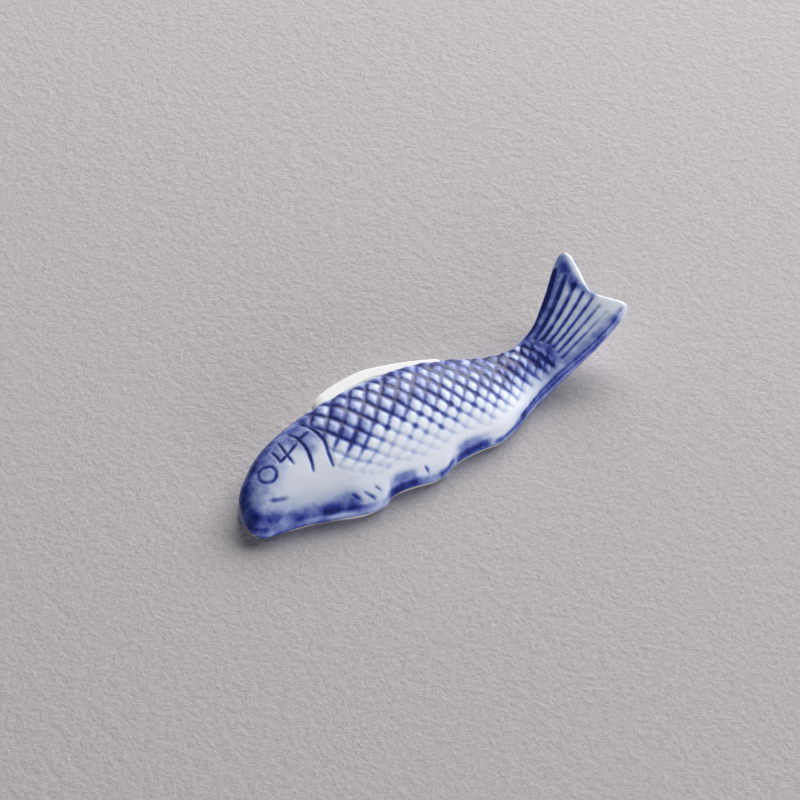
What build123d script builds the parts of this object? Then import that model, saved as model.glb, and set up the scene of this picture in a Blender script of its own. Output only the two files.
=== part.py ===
# Chopstick rest: a fish lying on its side, pressed in porcelain, painted blue and glazed.
#
# The fish is one fired piece made of two layers that meet face to face:
#   porcelain_body  the pressed clay, with its flat bare foot on the table
#   glaze_coat      the glassy coat over it, which carries the scales, fins, eye and rays
# The tail leaves the table behind the foot and sweeps up, so the chopsticks lie in the
# dip where the tail begins.
#
# Frame: millimetres, X from the nose to the tail, +Y towards the back fin, Z up, the foot
# on Z = 0, the origin on the table below the middle of the whole fish.
# Places on the fish are given as shares: along, 0 at the nose and 1 at the tail's tips,
# and across, in widths from the middle line, minus on the belly side, plus on the back.

import os
from math import cos, radians, sin

from build123d import *

# Overall size
rest_length = 73.4
rest_width = 23.45
rest_height = 10.2
middle_share = -0.01

# Layers
glaze_wall = 0.40
foot_band = 0.50

# Flank section: a wall that leans in, and a dome that is fullest towards the back
belly_rim = 2.6
back_rim = 4.0
wall_lean = 8.0
crest_share = 0.66
rim_limit_shares = (0.70, 0.78)
root_depth = 1.5

# Stations from nose to tail: along, belly edge, back edge, crest height, underside height
station_shares = [
    (0.000, -0.130, -0.032, 0.240, 0.000),
    (0.008, -0.170, 0.026, 0.355, 0.000),
    (0.025, -0.205, 0.088, 0.468, 0.000),
    (0.057, -0.252, 0.168, 0.565, 0.000),
    (0.112, -0.312, 0.276, 0.657, 0.000),
    (0.180, -0.405, 0.350, 0.725, 0.000),
    (0.248, -0.487, 0.400, 0.775, 0.000),
    (0.330, -0.507, 0.415, 0.794, 0.000),
    (0.411, -0.519, 0.402, 0.784, 0.000),
    (0.507, -0.513, 0.372, 0.725, 0.000),
    (0.589, -0.508, 0.296, 0.637, 0.000),
    (0.643, -0.474, 0.200, 0.559, 0.000),
    (0.698, -0.410, 0.105, 0.490, 0.000),
    (0.752, -0.360, 0.060, 0.480, 0.049),
    (0.807, -0.348, 0.080, 0.539, 0.186),
    (0.888, -0.347, 0.210, 0.725, 0.431),
    (0.956, -0.324, 0.359, 0.892, 0.627),
    (1.018, -0.280, 0.453, 1.039, 0.804),
]

# Dome of the flank, one curve up from the belly to the crest and one down to the back:
# control points as the share of the way across and the share of the rise
belly_dome_shares = [(0.00, 0.00), (0.30, 0.56), (0.62, 1.00), (1.00, 1.00)]
back_dome_shares = [(0.00, 1.00), (0.58, 1.00), (1.00, 0.58), (1.00, 0.00)]

# Space under the tail: along, height
lift_shares = [(0.700, 0.000), (0.752, 0.049), (0.807, 0.186), (0.888, 0.431), (1.018, 0.804)]

# Forked end of the tail: along, across
fork_shares = [
    (0.950, 0.425), (0.978, 0.392), (0.9925, 0.384), (0.999, 0.364), (0.999, 0.320),
    (0.993, 0.240), (0.983, 0.146), (0.973, 0.054), (0.969, -0.012), (0.972, -0.063),
    (0.981, -0.127), (0.993, -0.205), (0.996, -0.248), (0.993, -0.278), (0.985, -0.304),
    (0.973, -0.335), (0.952, -0.360),
]

# Back fin, a low smooth pad against the back
fin_height = 6.0
fin_edge_height = 4.4
fin_slope = 6.0
fin_inset_share = 1.25
fin_shares = [
    (0.280, 0.362), (0.303, 0.438), (0.345, 0.486), (0.418, 0.500), (0.507, 0.428),
    (0.570, 0.310), (0.600, 0.215),
]
fin_root_shares = (0.58, 0.10, 0.29, 0.20)

# Scoops between the belly fins, steep behind one fin and shallow up to the next:
# along, across on the table, leaning inwards above it
scoop_lean = 14.0
scoop_shares = [
    [
        (0.275, -0.506), (0.292, -0.474), (0.311, -0.452), (0.336, -0.457), (0.371, -0.483),
        (0.407, -0.523),
    ],
    [
        (0.439, -0.532), (0.455, -0.496), (0.474, -0.479), (0.501, -0.471), (0.537, -0.479),
        (0.575, -0.500), (0.606, -0.532),
    ],
]

# Pressed lines
line_width = 0.42
line_depth = 0.28

# Scales: two families of grooves that cross on the flank
scale_line_share = -0.059
steep_count = 17
steep_start_share = 0.224
steep_pitch = 3.3
steep_shrink_share = 0.966
steep_angle = 119.0
steep_turn = -0.65
slanted_count = 19
slanted_start_share = 0.144
slanted_pitch = 3.95
slanted_shrink_share = 0.9635
slanted_angle = 40.0
slanted_turn = 0.0
scale_field_shares = [
    (0.238, 0.280), (0.243, 0.155), (0.244, 0.030), (0.233, -0.092), (0.224, -0.185),
    (0.236, -0.290), (0.290, -0.355), (0.340, -0.345), (0.410, -0.415), (0.500, -0.365),
    (0.575, -0.410), (0.650, -0.370), (0.700, -0.310), (0.765, -0.275), (0.798, -0.262),
    (0.792, -0.130), (0.776, 0.000), (0.745, 0.020), (0.700, 0.060), (0.640, 0.145),
    (0.580, 0.235), (0.500, 0.310), (0.410, 0.345), (0.330, 0.355), (0.265, 0.335),
]

# Head: eye ring, gill arcs, short strokes and mouth
eye_share = (0.088, 0.034)
eye_radius = 1.65
head_line_shares = [
    [(0.191, 0.224), (0.191, 0.037), (0.172, -0.123)],
    [(0.226, 0.247), (0.231, 0.160), (0.2325, 0.032), (0.2215, -0.086), (0.213, -0.1665)],
    [(0.220, 0.147), (0.186, 0.126)],
    [(0.157, 0.213), (0.147, -0.006)],
    [(0.180, 0.109), (0.1255, 0.058)],
    [(0.130, 0.167), (0.127, 0.053)],
    [(0.055, -0.103), (0.093, -0.159)],
]

# Short strokes on the belly fins
fin_line_shares = [
    [(0.215, -0.353), (0.226, -0.405)],
    [(0.239, -0.375), (0.253, -0.425)],
    [(0.264, -0.385), (0.273, -0.420)],
    [(0.389, -0.420), (0.393, -0.450)],
]

# Tail rays: a fan of straight grooves, first and last ray by their roots and tips
ray_count = 7
ray_root_shares = ((0.797, 0.031), (0.820, -0.274))
ray_tip_shares = ((0.954, 0.310), (0.944, -0.230))


def spot(share):
    """The point in plan at a place given as shares along and across."""
    return ((share[0] - 1 / 2) * rest_length, (share[1] - middle_share) * rest_width)


def between(start, end, part):
    """The place a part of the way from one place to another."""
    return tuple(a + (b - a) * part for a, b in zip(start, end))


def cross_section(station, inset):
    """One closed cross section of the fish, a given distance inside its skin."""
    along, belly, back, crest, under = station
    where, belly_foot = spot((along, belly))
    back_foot = spot((along, back))[1]
    top = crest * rest_height
    lift = under * rest_height
    rise = top - lift
    belly_top = lift + min(belly_rim, rim_limit_shares[0] * rise)
    back_top = lift + min(back_rim, rim_limit_shares[1] * rise)
    lean = sin(radians(wall_lean)) / cos(radians(wall_lean))
    belly_edge = belly_foot + lean * (belly_top - lift) + inset
    back_edge = back_foot - lean * (back_top - lift) - inset
    middle = belly_edge + crest_share * (back_edge - belly_edge)
    belly_root = (belly_foot - lean * (lift + root_depth) + inset, -root_depth)
    back_root = (back_foot + lean * (lift + root_depth) - inset, -root_depth)
    belly_top, back_top, top = belly_top - inset, back_top - inset, top - inset
    belly_run, back_run = middle - belly_edge, back_edge - middle
    belly_dome = [
        (belly_edge + across * belly_run, belly_top + up * (top - belly_top))
        for across, up in belly_dome_shares
    ]
    back_dome = [
        (middle + across * back_run, back_top + up * (top - back_top))
        for across, up in back_dome_shares
    ]
    if station is station_shares[0]:
        where += inset
    with BuildSketch(Plane.YZ.offset(where)) as section:
        with BuildLine():
            Line(back_root, belly_root)
            Line(belly_root, belly_dome[0])
            Bezier(*belly_dome)
            Bezier(*back_dome)
            Line(back_dome[-1], back_root)
        make_face()
    return section.sketch


def trunk(inset):
    """The round of the fish from nose to tail, before the fins, fork and foot are cut."""
    with BuildPart() as round_form:
        loft(sections=[cross_section(station, inset) for station in station_shares])
    return round_form.part


def back_fin(inset):
    """The low pad of the back fin, whose top slopes down towards its outer edge."""
    edge = [(x, y - fin_inset_share * inset) for x, y in map(spot, fin_shares)]
    root_end, root_start = spot(fin_root_shares[:2]), spot(fin_root_shares[2:])
    with BuildPart() as pad:
        with BuildSketch(Plane.XY.offset(-root_depth)):
            with BuildLine():
                Spline(*edge)
                Polyline(edge[-1], root_end, root_start, edge[0])
            make_face()
        extrude(amount=root_depth + fin_height)
        top = Plane.XY.offset(fin_edge_height - inset).move(Location((0, rest_width / 2, 0)))
        split(bisect_by=top.rotated((-fin_slope, 0, 0)), keep=Keep.BOTTOM)
    return pad.part


def fish_form(inset):
    """The fish without its pressed lines, a given distance inside its skin."""
    floor = Plane.XY.offset(-root_depth)
    with BuildPart() as form:
        add(trunk(inset))
        add(back_fin(inset))
        # the scoops between the belly fins
        direction = (0, sin(radians(scoop_lean)), cos(radians(scoop_lean)))
        for shares in scoop_shares:
            edge = [(x, y + inset) for x, y in map(spot, shares)]
            with BuildSketch(Plane.XY):
                with BuildLine():
                    Spline(*edge)
                    Polyline(edge[-1], (edge[-1][0], -rest_width), (edge[0][0], -rest_width), edge[0])
                make_face()
            extrude(amount=rest_height, dir=direction, mode=Mode.SUBTRACT)
        # the fork of the tail
        edge = [(x - inset, y) for x, y in map(spot, fork_shares)]
        lobe_top, lobe_low = edge[0], edge[-1]
        with BuildSketch(floor):
            with BuildLine():
                Spline(*edge)
                Polyline(
                    lobe_low,
                    (lobe_low[0], -rest_width),
                    (rest_length, -rest_width),
                    (rest_length, rest_width),
                    (lobe_top[0], rest_width),
                    lobe_top,
                )
            make_face()
        extrude(amount=root_depth + 2 * rest_height, mode=Mode.SUBTRACT)
        # the space under the tail
        lift = [((a - 1 / 2) * rest_length, h * rest_height + (inset if h else 0)) for a, h in lift_shares]
        with BuildSketch(Plane.XZ.offset(-rest_width)):
            with BuildLine():
                Spline(*lift)
                Polyline(lift[-1], (lift[-1][0], -root_depth), (lift[0][0], -root_depth), lift[0])
            make_face()
        extrude(amount=2 * rest_width, mode=Mode.SUBTRACT)
        # the flat foot
        split(bisect_by=Plane.XY, keep=Keep.TOP)
    return form.part


def scale_places(start_share, count, pitch, shrink_share, angle, turn):
    """Where one family of straight scale lines lies, its spacing shrinking to the tail."""
    x, y = spot((start_share, scale_line_share))
    places = []
    for line in range(count):
        places.append(Location((x, y, 0), (0, 0, angle + turn * line)))
        x += pitch * shrink_share**line
    return places


def stroke(points):
    """The path of one pressed line in plan, straight or bent."""
    with BuildLine() as path:
        if len(points) > 2:
            Spline(*points)
        else:
            Line(*points)
    return path.line


steep_places = scale_places(
    steep_start_share, steep_count, steep_pitch, steep_shrink_share, steep_angle, steep_turn
)
slanted_places = scale_places(
    slanted_start_share,
    slanted_count,
    slanted_pitch,
    slanted_shrink_share,
    slanted_angle,
    slanted_turn,
)
with BuildSketch() as scale_net:
    with Locations(steep_places + slanted_places):
        Rectangle(2 * rest_width, line_width)
    with BuildLine():
        Polyline(*[spot(share) for share in scale_field_shares], close=True)
    make_face(mode=Mode.INTERSECT)

with BuildSketch() as drawn_lines:
    for line in head_line_shares + fin_line_shares:
        trace(stroke([spot(share) for share in line]), line_width)
    with Locations(spot(eye_share)):
        Circle(eye_radius + line_width / 2)
        Circle(eye_radius - line_width / 2, mode=Mode.SUBTRACT)
    for ray in range(ray_count):
        part = ray / (ray_count - 1)
        root = spot(between(*ray_root_shares, part))
        tip = spot(between(*ray_tip_shares, part))
        trace(stroke([root, tip]), line_width)

round_form = trunk(0)
with BuildPart() as pressed_lines:
    extrude(scale_net.sketch, amount=2 * rest_height)
    extrude(drawn_lines.sketch, amount=2 * rest_height)
    add(round_form.moved(Location((0, 0, -line_depth))), mode=Mode.SUBTRACT)

with BuildPart() as porcelain_body:
    add(fish_form(glaze_wall))
porcelain_body.part.label = "porcelain_body"

# The coat: its outside is the engraved fish, its inside is the clay, and a flat rim above
# the bare foot joins the two.
glaze_line = Plane.XY.offset(foot_band)
with BuildPart() as coat_outside:
    add(fish_form(0))
    add(pressed_lines.part, mode=Mode.SUBTRACT)
    split(bisect_by=glaze_line, keep=Keep.TOP)
with BuildPart() as coat_inside:
    add(porcelain_body.part)
    split(bisect_by=glaze_line, keep=Keep.TOP)
outside_foot, *outside_skin = coat_outside.faces().sort_by(Axis.Z)
inside_foot, *inside_skin = coat_inside.faces().sort_by(Axis.Z)
rim = Face(outside_foot.outer_wire(), [inside_foot.outer_wire()])
with BuildPart() as glaze_coat:
    add(Solid(Shell([rim] + outside_skin + inside_skin)))
glaze_coat.part.label = "glaze_coat"

os.makedirs("parts", exist_ok=True)
export_step(porcelain_body.part, "parts/porcelain_body.step")
export_step(glaze_coat.part, "parts/glaze_coat.step")
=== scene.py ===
# %% [markdown]
# # A porcelain fish that holds chopsticks
# The object is a small chopstick rest: a fish pressed in white clay, fired, painted with
# cobalt blue and covered with a clear glaze. The solid model of it is loaded first and never
# changes. Everything made here lies in the same place, in metres, with Z up and the table
# at zero.

# %% Load the solid model
import itertools
import math

import bmesh
import bpy
import numpy as np
from mathutils import Matrix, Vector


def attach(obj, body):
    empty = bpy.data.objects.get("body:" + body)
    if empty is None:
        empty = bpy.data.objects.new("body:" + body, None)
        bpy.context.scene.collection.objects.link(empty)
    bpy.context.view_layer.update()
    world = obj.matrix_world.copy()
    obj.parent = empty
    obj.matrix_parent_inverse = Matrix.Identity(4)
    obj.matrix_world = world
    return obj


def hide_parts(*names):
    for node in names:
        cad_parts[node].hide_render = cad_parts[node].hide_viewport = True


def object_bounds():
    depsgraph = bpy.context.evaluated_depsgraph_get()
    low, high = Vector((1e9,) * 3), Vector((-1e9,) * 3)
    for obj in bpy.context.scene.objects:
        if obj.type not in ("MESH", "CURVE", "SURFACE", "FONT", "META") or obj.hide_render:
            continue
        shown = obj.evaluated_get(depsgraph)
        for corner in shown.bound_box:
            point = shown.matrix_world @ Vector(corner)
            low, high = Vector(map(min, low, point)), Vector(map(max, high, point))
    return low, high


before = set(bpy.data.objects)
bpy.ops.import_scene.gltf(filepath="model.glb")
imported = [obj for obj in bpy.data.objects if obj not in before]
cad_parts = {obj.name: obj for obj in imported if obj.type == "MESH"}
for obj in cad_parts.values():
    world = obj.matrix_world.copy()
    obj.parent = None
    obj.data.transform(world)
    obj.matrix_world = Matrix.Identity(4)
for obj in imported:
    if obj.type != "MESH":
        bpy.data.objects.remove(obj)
solid_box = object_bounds()
print("solids:", sorted(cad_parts), "box:", solid_box)

# %% [markdown]
# ## Units, colours, objects and nodes
# The fish was measured in millimetres and Blender counts in metres. Colours are written as
# they look on a screen, in sRGB hex, and turned to the linear values that shaders use. One
# function adds any node, with its settings and its links, and serves for Geometry Nodes as
# well as for materials. An input takes a value, a socket, or a node, which stands for its
# first output.

# %% Units and colours
mm = 0.001


def linear(hex_colour):
    """An sRGB hex colour as the linear colour with alpha that shaders take."""
    values = [int(hex_colour[i : i + 2], 16) / 255 for i in (1, 3, 5)]
    return tuple(v / 12.92 if v <= 0.04045 else ((v + 0.055) / 1.055) ** 2.4 for v in values) + (1.0,)


print("white porcelain in linear values:", [round(v, 3) for v in linear("#F5F8FF")])


# %% Objects and nodes
def in_scene(name, data):
    """A new object with this data, linked into the scene."""
    obj = bpy.data.objects.new(name, data)
    bpy.context.scene.collection.objects.link(obj)
    return obj


def pose(x_axis, y_axis, z_axis, place):
    """The matrix of an object with these axes that stands at a place in metres."""
    rows = np.identity(4)
    rows[:3, 0], rows[:3, 1], rows[:3, 2], rows[:3, 3] = x_axis, y_axis, z_axis, place
    return Matrix([list(row) for row in rows])


def set_inputs(node, inputs):
    """Sets or links each input that is given."""
    for name, value in inputs.items():
        if isinstance(value, bpy.types.Node):
            value = value.outputs[0]
        if isinstance(value, bpy.types.NodeSocket):
            node.id_data.links.new(value, node.inputs[name])
        else:
            node.inputs[name].default_value = value


def add_node(tree, kind, inputs=None, **settings):
    """Adds a node with its settings, and sets or links each input that is given."""
    node = tree.nodes.new(kind)
    for name, value in settings.items():
        setattr(node, name, value)
    set_inputs(node, inputs or {})
    return node


print("ready to add objects and nodes")

# %% [markdown]
# ## Camera and light
# The camera looks down at 45 degrees over the belly side, from 0.7 m away with a long lens,
# as for a small thing on a table. One wide soft lamp stands behind the fish on the right, as a
# window would, so the back fin shines and a soft shadow lies in front of the nose. A weak low
# one in front works as a white card does: it lifts the walls of the belly and hardly reaches
# the table. A dim pale sky fills the rest.

# %% Camera
view_height = math.radians(45.0)
view_turn = math.radians(-38.0)
view_distance = 700 * mm
pixels_per_mm = 6.27
picture_side = 800
sensor_side = 36.0
fish_middle = np.array([0.5, -1.1405, 3.0]) * mm
# the middle of the picture lies this many of its pixels left of the fish's middle and above it
pixels_left, pixels_above = 31, 12

back = np.array(
    [
        math.sin(view_turn) * math.cos(view_height),
        -math.cos(view_turn) * math.cos(view_height),
        math.sin(view_height),
    ]
)
right = np.array([math.cos(view_turn), math.sin(view_turn), 0.0])
up = np.cross(back, right)
aim = fish_middle + (up * pixels_above - right * pixels_left) / pixels_per_mm * mm

camera_data = bpy.data.cameras.new("table_camera")
camera_data.sensor_width = sensor_side
camera_data.sensor_fit = "HORIZONTAL"
camera_data.lens = sensor_side * pixels_per_mm * (view_distance / mm) / picture_side
camera_data.clip_start = 10 * mm
camera = in_scene("table_camera", camera_data)
camera.matrix_world = pose(right, up, back, aim + back * view_distance)
bpy.context.scene.camera = camera
print("lens", round(camera_data.lens, 1), "mm")

# %% Lamps and sky
world = bpy.data.worlds.new("pale_sky")
world.use_nodes = True
set_inputs(world.node_tree.nodes["Background"], {"Color": linear("#EEF0F4"), "Strength": 0.06})
bpy.context.scene.world = world


def soft_lamp(name, place, wide, tall, strength, colour):
    """An area lamp at a place, turned to the fish, so many metres wide and tall."""
    data = bpy.data.lights.new(name, "AREA")
    data.shape = "RECTANGLE"
    data.size = wide
    data.size_y = tall
    data.energy = strength
    data.color = linear(colour)[:3]
    lamp = in_scene(name, data)
    backwards = np.array(place) / np.linalg.norm(place)
    across = np.cross([0, 0, 1], backwards)
    across /= np.linalg.norm(across)
    lamp.matrix_world = pose(across, np.cross(backwards, across), backwards, place)
    return lamp


soft_lamp("window", (0.775, 0.425, 0.565), 1.20, 0.64, 19.2, "#FFFFFF")
card = soft_lamp("front_card", (-0.25, -0.93, 0.17), 0.80, 0.30, 6.0, "#F0F4FF")
# a matt card gives light but no highlight
card.visible_glossy = False

# %% [markdown]
# ## The table
# The fish lies on grey plaster that was laid with a trowel. A photograph could be laid over
# the plane, but two noises stay sharp at any distance: grains of sand of about 1 mm, and the
# slower waves of the trowel. Plaster is chalky, so it is rough and hardly shines.

# %% A plane of trowelled plaster
half_side = 1.2
corners = [(x * half_side, y * half_side, 0) for x, y in ((-1, -1), (1, -1), (1, 1), (-1, 1))]
table_mesh = bpy.data.meshes.new("table")
table_mesh.from_pydata(corners, [], [(0, 1, 2, 3)])
table = in_scene("table", table_mesh)

plaster = bpy.data.materials.new("grey_plaster")
plaster.use_nodes = True
tree = plaster.node_tree
place = add_node(tree, "ShaderNodeTexCoord").outputs["Object"]
noises = {}
for name, size, detail, roughness in (("trowel", 2.2, 5.0, 0.55), ("sand", 0.9, 3.0, 0.7)):
    terms = {"Vector": place, "Scale": 1 / (size * mm), "Detail": detail, "Roughness": roughness}
    noises[name] = add_node(tree, "ShaderNodeTexNoise", terms)
tint = add_node(tree, "ShaderNodeMapRange", {"Value": noises["sand"], "From Min": 0.35, "From Max": 0.65})
terms = {0: tint, 6: linear("#BAB5B6"), 7: linear("#C4BFC0")}
tint = add_node(tree, "ShaderNodeMix", terms, data_type="RGBA").outputs[2]
relief = add_node(tree, "ShaderNodeMath", {0: noises["sand"], 1: noises["trowel"]}, operation="ADD")
bump = add_node(tree, "ShaderNodeBump", {"Height": relief, "Strength": 0.9, "Distance": 0.22 * mm})
set_inputs(tree.nodes["Principled BSDF"], {"Base Color": tint, "Roughness": 0.85, "Normal": bump})
table_mesh.materials.append(plaster)
bpy.context.scene.view_settings.view_transform = "Standard"
print("table:", 2 * half_side, "m wide, of", plaster.name)

# %% [markdown]
# ## The form of the fish
# The fish lies on a flat foot. Its walls lean in a little, as a pressed form needs to leave
# its mould, and its flank swells to a crest near the back. Its form follows a rule: at each
# place along the fish, a belly edge, a back edge, a crest height and an underside height give
# one cross section. Script code makes a light cage by that rule and a Geometry Nodes tree
# spans a smooth skin over it, which also rounds every edge as a melted glaze does.

# %% Sizes and sections, nose to tail
fish_length = round(float(solid_box[1][0] - solid_box[0][0]) / mm, 1)
fish_width = 23.45
fish_height = 10.2
middle_share = -0.01
glaze_line = 0.30
belly_wall = 2.6
back_wall = 4.0
wall_lean = math.tan(math.radians(8.0))
crest_share = 0.66
# where the tail is thin, the walls end at these shares of its thickness
thin_belly_wall, thin_back_wall = 0.70, 0.78

# along, belly edge, back edge, crest height, underside height, as shares of the sizes
sections = np.array(
    [
        (0.000, -0.118, -0.062, 0.240, 0.000),
        (0.008, -0.206, 0.042, 0.355, 0.000),
        (0.025, -0.240, 0.112, 0.468, 0.000),
        (0.057, -0.264, 0.190, 0.565, 0.000),
        (0.112, -0.314, 0.296, 0.657, 0.000),
        (0.180, -0.405, 0.363, 0.725, 0.000),
        (0.248, -0.487, 0.400, 0.775, 0.000),
        (0.330, -0.507, 0.415, 0.794, 0.000),
        (0.411, -0.519, 0.402, 0.784, 0.000),
        (0.507, -0.513, 0.372, 0.725, 0.000),
        (0.589, -0.508, 0.296, 0.637, 0.000),
        (0.643, -0.474, 0.200, 0.559, 0.000),
        (0.698, -0.410, 0.105, 0.490, 0.000),
        (0.752, -0.360, 0.060, 0.480, 0.049),
        (0.807, -0.348, 0.080, 0.539, 0.186),
        (0.888, -0.347, 0.210, 0.725, 0.431),
        (0.956, -0.324, 0.359, 0.907, 0.627),
        (1.018, -0.280, 0.453, 1.052, 0.804),
    ]
)
# the line of the fork, and below it the scoops: along and across, as shares of the sizes
fork = np.array(
    [
        (0.950, 0.425), (0.978, 0.392), (0.9925, 0.384), (0.999, 0.364), (0.999, 0.320),
        (0.993, 0.240), (0.983, 0.146), (0.973, 0.054), (0.969, -0.012), (0.972, -0.063),
        (0.981, -0.127), (0.993, -0.205), (0.999, -0.250), (0.9995, -0.284), (0.996, -0.312),
        (0.981, -0.338), (0.956, -0.362),
    ]
)
scoops = [
    np.array(
        [
            (0.275, -0.506), (0.292, -0.474), (0.311, -0.452),
            (0.336, -0.457), (0.371, -0.483), (0.407, -0.523),
        ]
    ),
    np.array(
        [
            (0.439, -0.532), (0.455, -0.496), (0.474, -0.479), (0.501, -0.471),
            (0.537, -0.479), (0.575, -0.500), (0.606, -0.532),
        ]
    ),
]
scoop_lean = math.tan(math.radians(14.0))
print(len(sections), "sections,", fish_length, "mm long")


# %% A smooth line through a few heights
def smooth(x, known_x, known_y):
    """A curve through known points that never overshoots them, read at x."""
    h = np.diff(known_x)
    slope = np.diff(known_y) / h
    tangent = np.zeros(len(known_x))
    tangent[0], tangent[-1] = slope[0], slope[-1]
    for i in range(1, len(known_x) - 1):
        if slope[i - 1] * slope[i] > 0:
            w1, w2 = 2 * h[i] + h[i - 1], h[i] + 2 * h[i - 1]
            tangent[i] = (w1 + w2) / (w1 / slope[i - 1] + w2 / slope[i])
    i = np.clip(np.searchsorted(known_x, x) - 1, 0, len(h) - 1)
    t = np.clip((x - known_x[i]) / h[i], 0, 1)
    return (
        (1 + 2 * t) * (1 - t) ** 2 * known_y[i]
        + t * (1 - t) ** 2 * h[i] * tangent[i]
        + t * t * (3 - 2 * t) * known_y[i + 1]
        + t * t * (t - 1) * h[i] * tangent[i + 1]
    )


def bezier(t, points):
    """A cubic Bezier curve in the plane, read at t."""
    a, b, c, d = (np.array(p)[:, None] for p in points)
    return (1 - t) ** 3 * a + 3 * (1 - t) ** 2 * t * b + 3 * (1 - t) * t * t * c + t**3 * d


crest_half_way = smooth(0.5, sections[:, 0], sections[:, 3]) * fish_height
print("crest half way along:", round(float(crest_half_way), 2), "mm")

# %% The rule: one closed cross section
# columns over the top: belly wall, belly dome, back dome, back wall; then columns below
belly_wall_steps = 4
belly_dome_steps = 20
back_dome_steps = 14
back_wall_steps = 5
crest_column = belly_wall_steps + belly_dome_steps
back_wall_column = crest_column + back_dome_steps
top_columns = back_wall_column + back_wall_steps + 1
under_columns = 12
belly_dome = [(0, 0), (0.30, 0.56), (0.62, 1), (1, 1)]
back_dome = [(0, 1), (0.58, 1), (1, 0.58), (1, 0)]
edge_blend = 0.45
shoulder_reach = 1.3
shoulder_cut = 0.24
shoulder_inwards, shoulder_down = 0.82, 0.57
# it takes in this many points past the wall, and keeps this share where the wall is low
shoulder_points, least_shoulder = 5, 0.3


def scooped(along, y, z):
    """Moves the belly side in where a scoop is cut between two fins, with a soft edge."""
    for scoop in scoops:
        limit = (smooth(along, scoop[:, 0], scoop[:, 1]) - middle_share) * fish_width + scoop_lean * z
        inside = (along > scoop[0, 0]) & (along < scoop[-1, 0])
        mix = np.clip(0.5 + 0.5 * (limit - y) / edge_blend, 0, 1)
        soft = y + (limit - y) * mix + edge_blend * mix * (1 - mix) / 2
        y = np.where(inside, soft, y)
    return y


def section_points(along, rounding):
    """One closed section as y and z in mm, over the flank and back below the belly.

    along holds one value for each column, and rounding thins the section to its middle.
    """
    belly, back_edge, crest, under = (smooth(along, sections[:, 0], sections[:, k]) for k in (1, 2, 3, 4))
    belly = (belly - middle_share) * fish_width
    back_edge = (back_edge - middle_share) * fish_width
    top = crest * fish_height
    base = under * fish_height
    low = np.maximum(base, glaze_line)
    belly_top = base + np.minimum(belly_wall, thin_belly_wall * (top - base))
    back_top = base + np.minimum(back_wall, thin_back_wall * (top - base))
    left = belly + wall_lean * (belly_top - base)
    right_side = back_edge - wall_lean * (back_top - base)
    middle = left + crest_share * (right_side - left)
    y, z = np.zeros_like(along), np.zeros_like(along)
    for n in range(belly_wall_steps):
        z[n] = low[n] + n / belly_wall_steps * (belly_top[n] - low[n])
        y[n] = belly[n] + wall_lean * (z[n] - base[n])
    for n in range(belly_dome_steps):
        k = belly_wall_steps + n
        across, lift = bezier(n / belly_dome_steps, belly_dome)[:, 0]
        y[k] = left[k] + across * (middle[k] - left[k])
        z[k] = belly_top[k] + lift * (top[k] - belly_top[k])
    # the shoulder between wall and dome is rounded by pulling its points to a flat cut
    near = slice(1, belly_wall_steps + shoulder_points)
    wide = shoulder_reach * np.clip((belly_top - low) / belly_wall, least_shoulder, 1)[near]
    far = np.hypot(y[near] - left[near], z[near] - belly_top[near])
    pull = shoulder_cut * wide * np.clip(1 - far / wide, 0, 1) ** 2
    y[near] += shoulder_inwards * pull
    z[near] -= shoulder_down * pull
    for n in range(back_dome_steps):
        k = crest_column + n
        across, lift = bezier(n / back_dome_steps, back_dome)[:, 0]
        y[k] = middle[k] + across * (right_side[k] - middle[k])
        z[k] = back_top[k] + lift * (top[k] - back_top[k])
    for n in range(back_wall_steps + 1):
        k = back_wall_column + n
        z[k] = back_top[k] + n / back_wall_steps * (low[k] - back_top[k])
        y[k] = back_edge[k] - wall_lean * (z[k] - base[k])
    for n in range(under_columns):
        k = top_columns + n
        share = 1 - (n + 1) / (under_columns + 1)
        z[k] = low[k]
        start = scooped(along[k], belly[k], low[k])
        y[k] = start + share * (back_edge[k] - start)
    over = slice(0, top_columns)
    y[over] = scooped(along[over], y[over], z[over])
    centre = (low + top) / 2
    return y, centre + (z - centre) * rounding


print("columns:", top_columns, "above and", under_columns, "below")

# %% [markdown]
# The tail ends in a fork, so its last rows can't lie straight across the fish. Each column is
# stretched until it ends on the line of the fork, and three short rows round the rim. Both
# ends are closed with small faces between the upper and the lower columns. How far along a
# column ends depends on where the section puts it, and the other way round, so a few passes
# bring the two together. The painter will need to know how far round the fish a point is,
# so each column also keeps its girth: 0 at the belly's foot, 1 at the top of its wall, 2 on
# the crest and 4 at the back's foot.

# %% Cage of the fish
tail_start = 0.86
rim_share = 0.58 / fish_length
nose_rows = [0.0, 0.004, 0.009, 0.016, 0.024, 0.033]
nose_rounding = [0.72, 0.88, 0.96]
body_rows = list(np.linspace(0.044, tail_start, 70))
tail_rows = 10
rim_angles = [28, 54, 76]
tail_middle = 0.93
fork_passes = 12
fork_by_y = fork[::-1]
columns = top_columns + under_columns

rows = []
for along, rounding in itertools.zip_longest(nose_rows + body_rows, nose_rounding, fillvalue=1.0):
    along = np.full(columns, along)
    rows.append((along, *section_points(along, rounding)))
for step in range(1, tail_rows + 1 + len(rim_angles)):
    angle = math.radians(rim_angles[step - tail_rows - 1]) if step > tail_rows else 0.0
    share = min(step / tail_rows, 1.0)
    along = np.full(columns, tail_middle)
    for _ in range(fork_passes):
        y, z = section_points(along, math.cos(angle))
        end = smooth(y / fish_width + middle_share, fork_by_y[:, 1], fork_by_y[:, 0])
        stop = end - rim_share
        along = 0.5 * along + 0.5 * (tail_start + share * (stop - tail_start) + rim_share * math.sin(angle))
    rows.append((along, *section_points(along, math.cos(angle))))

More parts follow.
